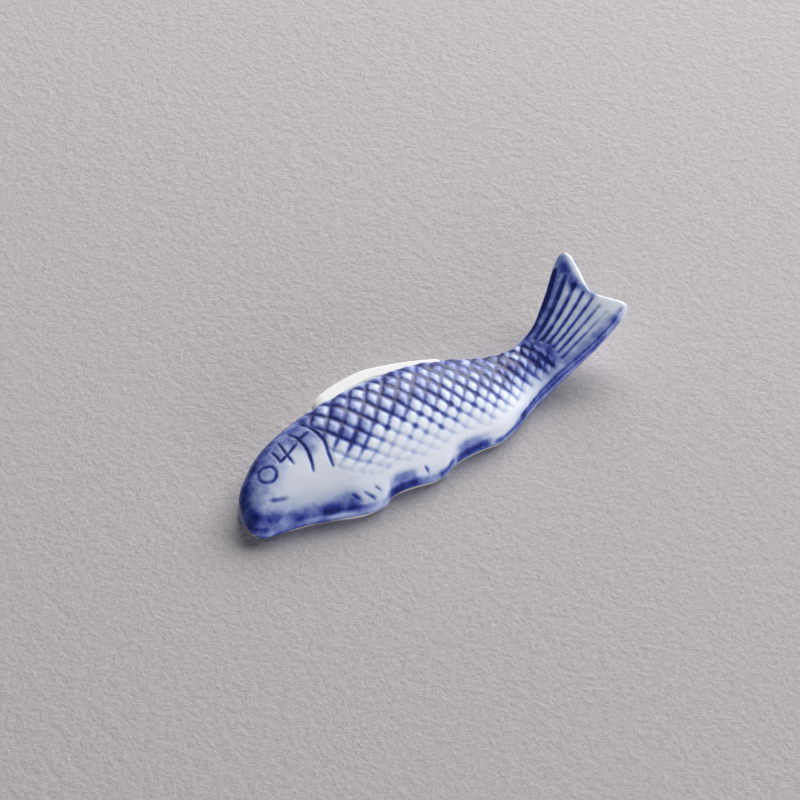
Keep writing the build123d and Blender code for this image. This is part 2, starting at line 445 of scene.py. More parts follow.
cage = bmesh.new()
is_fin = cage.verts.layers.float.new("is_fin")
girth = cage.verts.layers.float.new("girth")
grid = [
    [cage.verts.new(((a - 0.5) * fish_length * mm, y * mm, z * mm)) for a, y, z in zip(*row)]
    for row in rows
]
girth_marks = [
    (0, 0.0), (belly_wall_steps, 1.0), (crest_column, 2.0), (top_columns - 1, 4.0), (columns, 4.0),
]
girth_at = np.interp(range(columns), *zip(*girth_marks))
for first, second in zip(grid, grid[1:]):
    for k in range(columns):
        n = (k + 1) % columns
        cage.faces.new((first[k], second[k], second[n], first[n]))


def close_end(row):
    """Closes one end with faces between its upper and its lower columns."""
    above = row[:top_columns]
    below = [row[0]] + row[top_columns:][::-1] + [row[top_columns - 1]]
    marks = [round((top_columns - 1) * m / (len(below) - 1)) for m in range(len(below))]
    for m in range(len(below) - 1):
        loop = above[marks[m] : marks[m + 1] + 1] + below[m : m + 2][::-1]
        loop = list(dict.fromkeys(loop))
        if len(loop) > 2:
            cage.faces.new(loop)


close_end(grid[0])
close_end(grid[-1])
print("cage:", len(rows), "rows,", len(cage.faces), "faces")

# %% [markdown]
# The back fin is a smooth white pad that leans on the back, pressed in the same mould. It is
# a short loop of points swept along the outer edge of the fin, and its root runs into the
# flank.

# %% Cage of the back fin
fin_line = np.array(
    [
        (0.280, 0.345), (0.290, 0.396), (0.299, 0.428), (0.309, 0.450), (0.321, 0.467), (0.340, 0.482),
        (0.372, 0.496), (0.410, 0.500), (0.440, 0.492), (0.504, 0.418), (0.555, 0.329), (0.600, 0.232),
    ]
)
fin_edge_height = 5.1
# how far below that height the fin still is, over the 3.3 mm in which it rises from the flank
fin_start = [(0.280, 1.6), (0.293, 0.80), (0.306, 0.25), (0.325, 0.0)]
fin_slope = math.tan(math.radians(6.0))
fin_rows = 44
# one loop across the fin: inwards from its edge, and up from its top
fin_loop = [
    (3.4, 0.0), (2.2, 0.0), (1.1, 0.0), (0.45, 0.0), (0.10, -0.14),
    (0.0, -0.5), (0.0, -2.2), (0.0, "foot"), (3.4, "foot"),
]

fin_grid = []
for n in range(fin_rows):
    along = fin_line[0, 0] + (fin_line[-1, 0] - fin_line[0, 0]) * n / (fin_rows - 1)
    edge = (smooth(along, fin_line[:, 0], fin_line[:, 1]) - middle_share) * fish_width
    lower = np.interp(along, *zip(*fin_start))
    loop = []
    for inwards, rise in fin_loop:
        y = edge - inwards
        height = fin_edge_height - lower + fin_slope * (fish_width / 2 - y)
        z = glaze_line if rise == "foot" else height + rise
        loop.append(cage.verts.new(((along - 0.5) * fish_length * mm, y * mm, z * mm)))
    fin_grid.append(loop)
for first, second in zip(fin_grid, fin_grid[1:]):
    for k in range(len(fin_loop)):
        n = (k + 1) % len(fin_loop)
        cage.faces.new((first[k], second[k], second[n], first[n]))
cage.faces.new(fin_grid[0])
cage.faces.new(fin_grid[-1])
bmesh.ops.recalc_face_normals(cage, faces=cage.faces)

cage_mesh = bpy.data.meshes.new("fish_cage")
for loop in fin_grid:
    for v in loop:
        v[is_fin] = 1.0
for row in grid:
    for v, share in zip(row, girth_at):
        v[girth] = share
cage.to_mesh(cage_mesh)
cage.free()
fish = in_scene("glazed_fish", cage_mesh)
print("cage with fin:", len(cage_mesh.polygons), "faces")

# %% [markdown]
# ## The scales as a warped net
# The scales are the diamonds between two families of grooves that cross on the flank. They
# could be drawn one by one, but a net with a rule is truer: a flat grid whose corners are
# numbered, each number pair giving a place on the fish. The spacing shrinks to the tail and
# the lines bend a little with the round of the flank. The rule is a sum of a few terms in
# the two line numbers, which the tree below adds up one by one. The mould was cut by hand,
# so each crossing is then moved a little at random, with a fixed seed.

# %% Running a tree
socket_kinds = {int: "Int", float: "Float", tuple: "Vector"}
# the signs that the sums of a tree are written with, and what Blender calls them
signs = {
    "+": "ADD", "-": "SUBTRACT", "*": "MULTIPLY", "/": "DIVIDE", "%": "MODULO",
    "**": "POWER", "floor": "FLOOR",
}


def new_tree(name, sizes, takes_geometry=False):
    """An empty Geometry Nodes tree with named inputs, and its input and output nodes.

    Each input comes with its value, or with the word for what it will be given.
    """
    tree = bpy.data.node_groups.new(name, "GeometryNodeTree")
    tree.is_modifier = True
    if takes_geometry:
        tree.interface.new_socket("Geometry", in_out="INPUT", socket_type="NodeSocketGeometry")
    for label, value in sizes.items():
        kind = "NodeSocket" + socket_kinds.get(type(value), value)
        socket = tree.interface.new_socket(label, in_out="INPUT", socket_type=kind)
        if not isinstance(value, str):
            socket.default_value = value
    tree.interface.new_socket("Geometry", in_out="OUTPUT", socket_type="NodeSocketGeometry")
    return tree, add_node(tree, "NodeGroupInput").outputs, add_node(tree, "NodeGroupOutput")


def built_mesh(obj, tree, **values):
    """Runs a tree on an object and gives it the plain mesh that comes out."""
    modifier = obj.modifiers.new(tree.name, "NODES")
    modifier.node_group = tree
    for item in tree.interface.items_tree:
        if item.in_out == "INPUT" and item.name in values:
            modifier[item.identifier] = values[item.name]
    graph = bpy.context.evaluated_depsgraph_get()
    mesh = bpy.data.meshes.new_from_object(
        obj.evaluated_get(graph), preserve_all_data_layers=True, depsgraph=graph
    )
    obj.modifiers.remove(modifier)
    obj.data = mesh
    return mesh


def helper_object(name):
    """An object that only carries lines for another tree and is deleted in the end."""
    return in_scene(name, bpy.data.meshes.new(name))


print("ready to build trees")

# %% The net of scales
# along counts the mean of the two line numbers, and across counts half their difference;
# each term: place in mm, power of along, power of across
scale_terms = [
    # where the net starts, from the nose
    ((17.294, 10.666), 0, 0),
    # one step along the fish, and how it shrinks to the tail
    ((3.3818, -0.4341), 1, 0),
    ((-0.0483, -0.0069), 2, 0),
    # one step across it, and how the lines bend over the back
    ((1.4292, 5.7459), 0, 1),
    ((0.0762, 0.5189), 0, 2),
    # how the steps across grow smaller and turn towards the tail
    ((-0.0563, -0.0926), 1, 1),
    ((0.0026, -0.0055), 2, 1),
    ((-0.0041, -0.0278), 1, 2),
]
net_origin = (35.5, 1.1405)
first_steep, steep_lines = -3.0, 21
first_slanted, slanted_lines = -1.0, 24
# the net ends at these counts across it, and takes in more at the belly towards the tail
belly_limit, belly_drift, back_limit = -5.0, 0.27, 1.6

tree, given, result = new_tree(
    "scale_net",
    {
        "Steep Lines": steep_lines,
        "Slanted Lines": slanted_lines,
        "First Steep Line": first_steep,
        "First Slanted Line": first_slanted,
        "Unit": mm,
        "Unsteady Hand": 0.13,
        "Seed": 7,
    },
)
terms = {"Vertices X": given["Steep Lines"], "Vertices Y": given["Slanted Lines"]}
net = add_node(tree, "GeometryNodeMeshGrid", terms)
sums = [
    # name, first, sign, second
    ("row", "index", "/", "Slanted Lines"),
    ("row", "row", "floor", 0.0),
    ("column", "index", "%", "Slanted Lines"),
    ("steep", "row", "+", "First Steep Line"),
    ("slanted", "column", "+", "First Slanted Line"),
    ("along", "steep", "+", "slanted"),
    ("along", "along", "*", 0.5),
    ("across", "steep", "-", "slanted"),
    ("across", "across", "*", 0.5),
    ("to belly", "along", "*", belly_drift),
    ("to belly", "to belly", "+", "across"),
]
known = {name: given[name] for name in ("Slanted Lines", "First Steep Line", "First Slanted Line")}
known["index"] = add_node(tree, "GeometryNodeInputIndex")
for name, first, sign, second in sums:
    terms = {0: known.get(first, first), 1: known.get(second, second)}
    known[name] = add_node(tree, "ShaderNodeMath", terms, operation=signs[sign])
spot = (-net_origin[0], -net_origin[1], 0.0)
for (x, y), along_power, across_power in scale_terms:
    factor = 1.0
    for name in ["along"] * along_power + ["across"] * across_power:
        factor = add_node(tree, "ShaderNodeMath", {0: factor, 1: known[name]}, operation="MULTIPLY")
    term = add_node(tree, "ShaderNodeVectorMath", {0: (x, y, 0.0), "Scale": factor}, operation="SCALE")
    spot = add_node(tree, "ShaderNodeVectorMath", {0: spot, 1: term}, operation="ADD")
terms = {0: (-1.0, -1.0, 0.0), 1: (1.0, 1.0, 0.0), "Seed": given["Seed"]}
shaky = add_node(tree, "FunctionNodeRandomValue", terms, data_type="FLOAT_VECTOR")
terms = {0: shaky, "Scale": given["Unsteady Hand"]}
shaky = add_node(tree, "ShaderNodeVectorMath", terms, operation="SCALE")
spot = add_node(tree, "ShaderNodeVectorMath", {0: spot, 1: shaky}, operation="ADD")
spot = add_node(tree, "ShaderNodeVectorMath", {0: spot, "Scale": given["Unit"]}, operation="SCALE")
kept = net
for label, name in (
    ("steep_line", "steep"), ("slanted_line", "slanted"), ("to_belly", "to belly"), ("across", "across"),
):
    terms = {"Geometry": kept, "Name": label, "Value": known[name]}
    kept = add_node(tree, "GeometryNodeStoreNamedAttribute", terms, data_type="FLOAT", domain="POINT")
warped = add_node(tree, "GeometryNodeSetPosition", {"Geometry": kept, "Position": spot})
# the net is trimmed where it would run past the belly and past the back
outside = False
limits = (("to_belly", "LESS_THAN", belly_limit), ("across", "GREATER_THAN", back_limit))
for label, side, limit in limits:
    value = add_node(tree, "GeometryNodeInputNamedAttribute", {"Name": label}, data_type="FLOAT")
    beyond = add_node(
        tree, "FunctionNodeCompare", {"A": value, "B": limit}, data_type="FLOAT", operation=side
    )
    outside = add_node(tree, "FunctionNodeBooleanMath", {0: outside, 1: beyond}, operation="OR")
terms = {"Geometry": warped, "Selection": outside}
trimmed = add_node(tree, "GeometryNodeDeleteGeometry", terms, domain="POINT")
realized = add_node(tree, "GeometryNodeRealizeInstances", {"Geometry": trimmed})
set_inputs(result, {"Geometry": realized})

scale_net = helper_object("scale_net")
net_mesh = built_mesh(scale_net, tree)
print("scale net:", len(net_mesh.vertices), "crossings,", len(net_mesh.polygons), "scales")

# %% [markdown]
# ## The rays of the tail
# Seven grooves fan out over the tail. They repeat with a rule too: each one runs from a
# place between two roots to a place between two tips, and the ones on the upper lobe bow.
# The tree lays the points of all the rays in one line and splits them into one curve each.

# %% The fan of rays
# the rays bow less and less from the first to the last
bow_fade = 1.5
tree, given, result = new_tree(
    "tail_rays",
    {
        "Rays": 7,
        "Points Each": 14,
        "First Root": (21.6 * mm, 0.9 * mm, 0.0),
        "Last Root": (23.4 * mm, -6.1 * mm, 0.0),
        "First Tip": (32.9 * mm, 7.5 * mm, 0.0),
        "Last Tip": (33.2 * mm, -5.1 * mm, 0.0),
        "Root Bulge": 0.9 * mm,
        "Tip Dip": 0.8 * mm,
        "Bow": 0.75 * mm,
    },
)
known = {name: given[name] for name in ("Rays", "Points Each", "Root Bulge", "Tip Dip", "Bow")}
known["index"] = add_node(tree, "GeometryNodeInputIndex")
sums = [
    # name, first, sign, second
    ("count", "Rays", "*", "Points Each"),
    ("ray", "index", "/", "Points Each"),
    ("ray", "ray", "floor", 0.0),
    ("last ray", "Rays", "-", 1.0),
    ("part", "ray", "/", "last ray"),
    ("step", "index", "%", "Points Each"),
    ("last step", "Points Each", "-", 1.0),
    ("way", "step", "/", "last step"),
    ("other part", 1.0, "-", "part"),
    ("hump", "part", "*", "other part"),
    ("hump", "hump", "*", 4.0),
    ("root out", "hump", "*", "Root Bulge"),
    ("tip down", "hump", "*", "Tip Dip"),
    ("tip down", "tip down", "*", "way"),
    ("other way", 1.0, "-", "way"),
    ("root out", "root out", "*", "other way"),
    ("sag", "way", "*", "other way"),
    ("sag", "sag", "*", 4.0),
    ("sag", "sag", "*", "Bow"),
    ("bend", "other part", "**", bow_fade),
    ("sag", "sag", "*", "bend"),
    ("down", "sag", "+", "tip down"),
    ("down", "down", "*", -1.0),
]
for name, first, sign, second in sums:
    terms = {0: known.get(first, first), 1: known.get(second, second)}
    known[name] = add_node(tree, "ShaderNodeMath", terms, operation=signs[sign])
ends = []
for first, last in (("First Root", "Last Root"), ("First Tip", "Last Tip")):
    terms = {0: known["part"], 4: given[first], 5: given[last]}
    ends.append(add_node(tree, "ShaderNodeMix", terms, data_type="VECTOR").outputs[1])
terms = {0: known["way"], 4: ends[0], 5: ends[1]}
spot = add_node(tree, "ShaderNodeMix", terms, data_type="VECTOR").outputs[1]
shift = add_node(tree, "ShaderNodeCombineXYZ", {"X": known["root out"], "Y": known["down"]})
spot = add_node(tree, "ShaderNodeVectorMath", {0: spot, 1: shift}, operation="ADD")
dots = add_node(tree, "GeometryNodePoints", {"Count": known["count"]})
moved = add_node(tree, "GeometryNodeSetPosition", {"Geometry": dots, "Position": spot})
terms = {"Points": moved, "Curve Group ID": known["ray"], "Weight": known["way"]}
curves = add_node(tree, "GeometryNodePointsToCurves", terms)
wires = add_node(tree, "GeometryNodeCurveToMesh", {"Curve": curves})
realized = add_node(tree, "GeometryNodeRealizeInstances", {"Geometry": wires})
set_inputs(result, {"Geometry": realized})

tail_rays = helper_object("tail_rays")
rays_mesh = built_mesh(tail_rays, tree)
print("tail rays:", len(rays_mesh.vertices), "points,", len(rays_mesh.edges), "pieces")

# %% [markdown]
# ## Drawn strokes
# The gill arcs, the ring of the eye, the mouth and the short strokes on the fins don't
# repeat, so each one is a short list of places in plan, with its width and how much cobalt
# it holds. A smooth line is laid through each list.

# %% Strokes of the head, the fins and the back
strokes = [
    # width in mm, ink, places
    (0.46, 0.95, [(-22.85, 5.49), (-22.6, 3.5), (-22.74, 1.11), (-23.3, -0.9), (-24.11, -2.64)]),
    (0.46, 0.95, [(-20.09, 6.02), (-19.75, 3.98), (-19.62, 0.98), (-20.45, -1.78), (-21.05, -3.67)]),
    (0.42, 0.90, [(-20.56, 3.69), (-23.07, 3.20)]),
    (0.40, 0.85, [(-25.19, 5.23), (-25.7, 2.6), (-25.94, 0.10)]),
    (0.42, 0.90, [(-23.49, 2.80), (-25.5, 2.1), (-27.48, 1.60)]),
    (0.40, 0.75, [(-27.15, 4.16), (-27.35, 1.48)]),
    (0.55, 0.34, [(-32.5, -2.45), (-31.4, -3.0), (-30.0, -3.5)]),
    (0.40, 0.55, [(-20.9, -8.44), (-20.1, -9.74)]),
    (0.40, 0.55, [(-19.15, -9.14), (-18.0, -10.49)]),
    (0.36, 0.50, [(-17.1, -9.24), (-16.55, -10.04)]),
    (0.36, 0.55, [(-8.0, -10.34), (-7.7, -11.04)]),
    (0.44, 0.90, [(6.5, 5.2), (7.3, 4.9)]),
    (0.44, 0.80, [(9.0, 4.0), (9.8, 3.6)]),
    (0.44, 0.80, [(11.2, 3.0), (12.0, 2.5)]),
]
eye_place = (-30.3, 1.16)
eye_size = 1.45
ring = [
    (eye_place[0] + eye_size * math.cos(a), eye_place[1] + eye_size * math.sin(a))
    for a in np.linspace(0, 2 * math.pi, 49)
]
strokes.append((0.46, 0.54, ring))
line_spacing = 0.12
# a stroke holds this share of its ink at its tips, and all of it from a fifth of its length on
tip_ink, tip_slope = 0.45, 3.0
# its width, as a share of the full one, follows the ink
least_width, width_range = 0.7, 0.3


def smooth_path(places):
    """Points close together on a smooth line through a few places."""
    places = np.array(places, float)
    steps = np.concatenate([[0], np.cumsum(np.linalg.norm(np.diff(places, axis=0), axis=1))])
    at = np.linspace(0, steps[-1], max(int(steps[-1] / line_spacing), 2))
    if len(places) == 2:
        return np.stack([np.interp(at, steps, places[:, k]) for k in (0, 1)], -1)
    return np.stack([smooth(at, steps, places[:, k]) for k in (0, 1)], -1)


points, edges, inks, widths = [], [], [], []
for width, ink, places in strokes:
    path = smooth_path(places)
    start = len(points)
    for n, (x, y) in enumerate(path):
        from_end = min(n, len(path) - 1 - n) / len(path)
        taper = 1.0 if places is ring else min(1.0, tip_ink + tip_slope * from_end)
        points.append((x * mm, y * mm, 0.0))
        inks.append(ink * taper)
        widths.append(width * mm * (least_width + width_range * taper))
    edges += [(n, n + 1) for n in range(start, len(points) - 1)]
stroke_lines = helper_object("drawn_strokes")
stroke_lines.data.from_pydata(points, edges, [])
for label, values in (("ink", inks), ("wide", widths)):
    stroke_lines.data.attributes.new(label, "FLOAT", "POINT").data.foreach_set("value", values)
print("strokes:", len(strokes), "with", len(points), "points")

# %% The area that holds scales
scale_area = np.array(
    [
        (0.238, 0.280), (0.243, 0.155), (0.244, 0.030), (0.233, -0.092), (0.224, -0.185),
        (0.236, -0.290), (0.290, -0.355), (0.340, -0.345), (0.410, -0.415), (0.500, -0.365),
        (0.575, -0.410), (0.650, -0.370), (0.700, -0.310), (0.764, -0.278), (0.796, -0.268),
        (0.794, -0.130), (0.778, 0.000), (0.745, 0.030), (0.700, 0.085), (0.640, 0.172),
        (0.580, 0.255), (0.500, 0.330), (0.410, 0.365), (0.330, 0.370), (0.265, 0.345),
    ]
)
area_points = [
    ((a - 0.5) * fish_length * mm, (c - middle_share) * fish_width * mm, 0.0) for a, c in scale_area
]
scale_field = helper_object("scale_field")
scale_field.data.from_pydata(area_points, [], [tuple(range(len(area_points)))])
print("scale area:", len(area_points), "corners")

# %% [markdown]
# ## Pressing the lines into the skin
# This tree first spans the smooth skin over the cage. Then it reads, at each point of the
# skin, how far the nearest line is when seen from above, as a mould presses from above. Near
# a line the skin sinks, a little more where two lines cross, and inside a scale it swells to
# a small pillow. Towards the belly the relief is worn down. The whole upper side is lifted
# slightly, so the clay below stays covered where the skin sinks. What the painter needs later,
# such as which scale a point is on, is stored by name.

# %% The skin tree: what it is given
tree, given, result = new_tree(
    "pressed_skin",
    {
        "Levels": 2,
        "Scale Net": "Object",
        "Scale Field": "Object",
        "Rays": "Object",
        "Strokes": "Object",
        "Line Width": 0.60 * mm,
        "Line Depth": 0.04 * mm,
        "Corner Width": 0.85 * mm,
        "Corner Depth": 0.04 * mm,
        "Ray Width": 0.62 * mm,
        "Ray Depth": 0.10 * mm,
        "Stroke Depth": 0.13 * mm,
        "Pillow Reach": 1.30 * mm,
        "Pillow Height": 0.12 * mm,
        "Lift": 0.07 * mm,
        "Fade": 0.8 * mm,
        "Worn From": -1.5 * mm,
        "Worn To": -7.5 * mm,
        "Worn Share": 0.35,
        "Glaze": "Material",
    },
    takes_geometry=True,
)
print("inputs of the skin tree:", len(tree.interface.items_tree) - 1)

# %% The skin tree: what is near each point
terms = {"Mesh": given["Geometry"], "Level": given["Levels"]}
skin = add_node(tree, "GeometryNodeSubdivisionSurface", terms)
place = add_node(tree, "GeometryNodeInputPosition")
plan = add_node(tree, "ShaderNodeVectorMath", {0: place, 1: (1.0, 1.0, 0.0)}, operation="MULTIPLY")
normal = add_node(tree, "GeometryNodeInputNormal")
known = {}
known["fin"] = add_node(tree, "GeometryNodeInputNamedAttribute", {"Name": "is_fin"}, data_type="FLOAT")
towards_back = add_node(tree, "ShaderNodeSeparateXYZ", {0: place}).outputs["Y"]
upwards = add_node(tree, "ShaderNodeSeparateXYZ", {0: normal}).outputs["Z"]
# how far up a face looks, from upright walls that stay smooth to what is pressed in full
wall_facing, top_facing = 0.05, 0.40
for name, terms in (
    ("facing", {"Value": upwards, "From Min": wall_facing, "From Max": top_facing}),
    (
        "worn",
        {
            "Value": towards_back, "From Min": given["Worn To"], "From Max": given["Worn From"],
            "To Min": given["Worn Share"],
        },
    ),
):
    known[name] = add_node(tree, "ShaderNodeMapRange", terms, interpolation_type="SMOOTHSTEP")
drawn = {}
for label in ("Scale Net", "Scale Field", "Rays", "Strokes"):
    info = add_node(tree, "GeometryNodeObjectInfo", {"Object": given[label]})
    drawn[label] = info.outputs["Geometry"]
terms = {"Geometry": drawn["Strokes"], "Sample Position": plan}
nearest = add_node(tree, "GeometryNodeSampleNearest", terms, domain="POINT")
for label in ("ink", "wide"):
    value = add_node(tree, "GeometryNodeInputNamedAttribute", {"Name": label}, data_type="FLOAT")
    terms = {"Geometry": drawn["Strokes"], "Value": value, "Index": nearest}
    known[label] = add_node(tree, "GeometryNodeSampleIndex", terms, data_type="FLOAT", domain="POINT")
bands = [
    # name, what is near, which part of it, how wide the band falls to zero
    ("net line", "Scale Net", "EDGES", given["Line Width"]),
    ("rim of scale", "Scale Net", "EDGES", given["Pillow Reach"]),
    ("corner", "Scale Net", "POINTS", given["Corner Width"]),
    ("field", "Scale Field", "FACES", given["Fade"]),
    ("ray line", "Rays", "EDGES", given["Ray Width"]),
    ("stroke", "Strokes", "EDGES", known["wide"]),
]
for name, label, part, width in bands:
    terms = {0: drawn[label], "Source Position": plan}
    near = add_node(tree, "GeometryNodeProximity", terms, target_element=part)
    terms = {"Value": near.outputs["Distance"], "From Max": width, "To Min": 1.0, "To Max": 0.0}
    known[name] = add_node(tree, "ShaderNodeMapRange", terms, interpolation_type="SMOOTHSTEP")
print("bands:", [name for name, *_ in bands])

# %% The skin tree: how far each point is pushed
pillow_roundness = 1.2
sums = [
    # name, first, sign, second
    ("skin", 1.0, "-", "fin"),
    ("skin", "skin", "*", "facing"),
    ("field", "field", "*", "skin"),
    ("net line", "net line", "*", "field"),
    ("ray line", "ray line", "*", "skin"),
    ("stroke", "stroke", "*", "skin"),
    ("stroke ink", "stroke", "*", "ink"),
    ("pillow", "rim of scale", "**", pillow_roundness),
    ("pillow", 1.0, "-", "pillow"),
    ("pillow", "pillow", "*", "field"),
    ("pillow", "pillow", "*", "worn"),
    ("corner", "corner", "*", "field"),
    ("push", "pillow", "*", "Pillow Height"),
    ("sink", "corner", "*", "Corner Depth"),
    ("push", "push", "-", "sink"),
    ("rise", "skin", "*", "Lift"),
    ("push", "push", "+", "rise"),
    ("sink", "net line", "*", "Line Depth"),
    ("sink", "sink", "*", "worn"),
    ("push", "push", "-", "sink"),
    ("sink", "ray line", "*", "Ray Depth"),
    ("push", "push", "-", "sink"),
    ("sink", "stroke", "*", "Stroke Depth"),
    ("push", "push", "-", "sink"),
]
for name in ("Pillow Height", "Line Depth", "Corner Depth", "Ray Depth", "Stroke Depth", "Lift"):
    known[name] = given[name]
for name, first, sign, second in sums:
    terms = {0: known.get(first, first), 1: known.get(second, second)}
    known[name] = add_node(tree, "ShaderNodeMath", terms, operation=signs[sign])
for label in ("steep_line", "slanted_line"):
    value = add_node(tree, "GeometryNodeInputNamedAttribute", {"Name": label}, data_type="FLOAT")
    terms = {0: drawn["Scale Net"], "Value": value, "Sample Position": plan}
    known[label] = add_node(tree, "GeometryNodeSampleNearestSurface", terms, data_type="FLOAT")
for label, name in (
    ("net_corner", "corner"), ("ray_line", "ray line"), ("stroke_line", "stroke ink"),
    ("scale_part", "field"), ("steep_line", "steep_line"), ("slanted_line", "slanted_line"),
):
    terms = {"Geometry": skin, "Name": label, "Value": known[name]}
    skin = add_node(tree, "GeometryNodeStoreNamedAttribute", terms, data_type="FLOAT", domain="POINT")
offset = add_node(tree, "ShaderNodeVectorMath", {0: normal, "Scale": known["push"]}, operation="SCALE")
pressed = add_node(tree, "GeometryNodeSetPosition", {"Geometry": skin, "Offset": offset})
smooth_faces = add_node(tree, "GeometryNodeSetShadeSmooth", {"Geometry": pressed})
realized = add_node(tree, "GeometryNodeRealizeInstances", {"Geometry": smooth_faces})
terms = {"Geometry": realized, "Material": given["Glaze"]}
set_inputs(result, {"Geometry": add_node(tree, "GeometryNodeSetMaterial", terms)})

glaze = bpy.data.materials.new("glazed_cobalt_porcelain")
chosen = {"Scale Net": scale_net, "Scale Field": scale_field, "Rays": tail_rays, "Strokes": stroke_lines}
skin_mesh = built_mesh(fish, tree, Glaze=glaze, **chosen)
triangles = sum(len(p.vertices) - 2 for p in skin_mesh.polygons)
print("skin:", len(skin_mesh.vertices), "points,", triangles, "triangles")

# %% [markdown]
# ## Painting with cobalt
# The painter lays a thin blue wash with a soft brush and lets the colour run into the pressed
# lines. A wash is a list of places with a radius and a strength, soft at its edge. Washes
# add up as thin coats do: each one lets through part of the white that is still there. Most
# are laid from above. The belly wall stands almost upright, so its washes are laid by the
# place along the fish and the height up the wall, and the back wall is thinner near the foot.
# Low on the belly wall, some of these coats are painted shade where the wall meets the table.

# %% Brush work
skin_count = len(skin_mesh.vertices)


def kept_values(label):
    """A value that the skin tree stored, as one number for each point."""
    values = np.zeros(skin_count)
    skin_mesh.attributes[label].data.foreach_get("value", values)
    return values


where = np.zeros(skin_count * 3)
skin_mesh.vertices.foreach_get("co", where)
where = where.reshape(-1, 3) / mm
girth_share = kept_values("girth")
in_plan = where[:, :2]
wall_height = 2.5
on_wall_at = np.stack([where[:, 0], girth_share * wall_height], -1)


def brushed(table, at):
    """How much colour a table of brush strokes leaves at each place."""
    bare = np.ones(skin_count)
    for strength, radius, places in table:
        places = np.array(places, float)
        nearest = np.full(skin_count, 1e9)
        for a, b in zip(places, places[1:]):
            along = np.clip((at - a) @ (b - a) / max((b - a) @ (b - a), 1e-9), 0, 1)
            gap = np.linalg.norm(at - a - along[:, None] * (b - a), axis=1)
            nearest = np.minimum(nearest, gap)
        bare *= 1 - strength * np.exp(-((nearest / radius) ** 2))
    return 1 - bare


print("skin in plan:", in_plan.min(0).round(1), "to", in_plan.max(0).round(1), "mm")

# %% Washes
# strength, radius in mm, places
brow = [(-36.7, -0.9), (-35.2, 0.8), (-32.3, 3.2), (-28.6, 5.6), (-24.2, 7.4), (-18.9, 8.8)]
washes = [
    # the dark edge of the head, from the nose over the brow
    (0.72, 0.75, brow),
    (0.30, 2.4, brow),
    (0.20, 3.4, [(-36.0, 0.0), (-31.0, 3.4), (-26.5, 4.8), (-22.5, 6.0)]),
    (0.12, 2.4, [(-36.4, -1.5), (-34.6, -2.0), (-32.0, -0.6), (-29.6, 1.2)]),
    # the band along the jaw
    (0.46, 1.1, [(-36.6, -2.2), (-35.6, -3.7), (-34.0, -4.8)]),
    (0.60, 0.6, [(-36.6, -2.6), (-35.8, -3.3)]),
    (0.42, 0.9, [(-34.0, -5.0), (-31.8, -5.7), (-28.0, -7.0), (-24.6, -8.6)]),
    (0.16, 1.8, [(-33.0, -4.6), (-30.0, -5.4), (-26.6, -7.0), (-22.4, -8.8)]),
    (0.80, 0.70, [(-25.6, -8.2), (-24.3, -8.8), (-21.8, -9.9)]),
    # gills and brow
    (0.16, 2.2, [(-28.2, 3.4), (-24.0, 3.8)]),
    (0.28, 1.1, [(-23.0, 3.6), (-22.2, 0.6)]),
    (0.24, 1.4, [(-22.0, 5.4), (-20.0, 2.6)]),
    # belly fins and the scoops between them
    (0.18, 0.9, [(-22.6, -8.0), (-20.6, -8.9)]),
    (0.06, 1.3, [(-20.4, -9.4), (-17.0, -10.2)]),
    (0.62, 0.55, [(-14.0, -10.2), (-12.8, -10.0), (-11.4, -10.2), (-10.2, -10.6)]),
    (0.55, 0.50, [(-0.9, -10.6), (0.6, -10.4), (2.6, -10.7), (4.2, -11.2)]),
    # the tail, dark on its upper lobe
    (0.50, 1.6, [(34.8, 8.6), (31.6, 5.9), (28.3, 3.7), (25.2, 1.9), (22.0, 0.6)]),
    (0.14, 1.9, [(32.0, 3.6), (28.0, 1.0), (24.4, -1.4)]),
    (0.52, 0.8, [(34.4, 7.2), (33.7, 5.0), (33.0, 2.8)]),
    (0.34, 0.8, [(33.4, 2.8), (33.6, 0.4), (33.8, -1.0)]),
    (0.34, 1.0, [(24.0, -7.3), (29.0, -7.2), (33.0, -6.8)]),
    (0.15, 3.0, [(31.0, -2.4), (25.0, -4.6)]),
    (0.46, 0.5, [(33.6, -6.9), (35.4, -6.6)]),
    (0.60, 1.6, [(15.6, 1.2), (18.8, 0.8), (21.0, -0.8), (22.2, -3.6)]),
    (0.50, 3.0, [(12.0, -1.4), (17.6, -3.0), (20.8, -4.4)]),
    # the back and the flank
    (0.60, 1.6, [(-18.6, 6.6), (-15.4, 7.6), (-9.8, 7.8), (-3.2, 7.2), (3.0, 5.8), (9.0, 3.6), (14.0, 1.6)]),
    (0.42, 2.8, [(-17.6, 3.4), (-10.6, 4.0), (-3.8, 4.0), (4.0, 2.8), (12.0, 0.2)]),
    (0.28, 2.8, [(-14.0, 0.6), (-6.0, 0.2), (0.0, 0.6)]),
    (0.24, 2.2, [(-17.4, 1.0), (-15.4, -1.0)]),
    (0.12, 3.0, [(2.0, -1.4), (12.0, -3.4)]),
]
